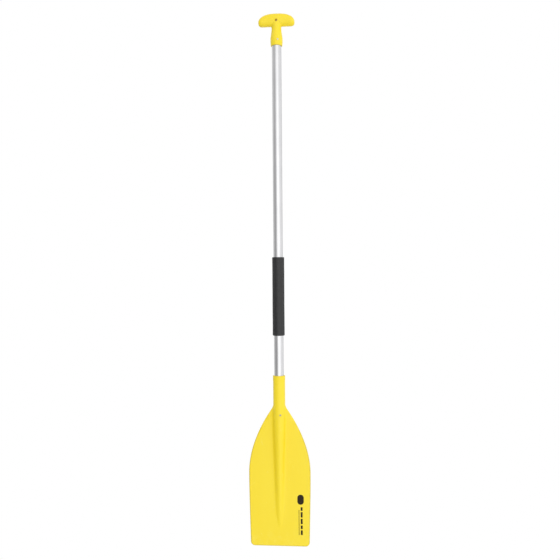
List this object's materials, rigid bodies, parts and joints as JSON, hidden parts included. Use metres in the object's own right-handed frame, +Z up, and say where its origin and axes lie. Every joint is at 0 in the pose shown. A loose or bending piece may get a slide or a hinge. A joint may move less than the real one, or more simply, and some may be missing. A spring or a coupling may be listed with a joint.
{
  "type": "boat paddle",
  "caption": "Single-blade T-grip paddle: a moulded blade and T-grip riveted to a straight aluminium tube with a foam hand sleeve.",
  "frame": {"origin": "middle of the hang hole in the T-grip, from which the paddle hangs with its blade down", "axes": "+Z up along the shaft from the blade to the grip, +X across the blade, and the front of the blade faces -Y"},
  "size_m": [0.1766, 0.036, 1.524],
  "materials": {
    "yellow_plastic": "satin",
    "satin_aluminium": "satin",
    "black_foam": "matte",
    "rivet_aluminium": "satin",
    "mandrel_steel": "matte",
    "plug_foam": "matte"
  },
  "bodies": {
    "root": {"blade": "yellow_plastic", "t_grip": "yellow_plastic", "shaft_tube": "satin_aluminium", "foam_sleeve": "black_foam", "grip_rivet": "rivet_aluminium", "grip_rivet_mandrel": "mandrel_steel", "blade_rivet": "rivet_aluminium", "blade_rivet_mandrel": "mandrel_steel", "lower_plug": "plug_foam", "upper_plug": "plug_foam"}
  },
  "joints": []
}
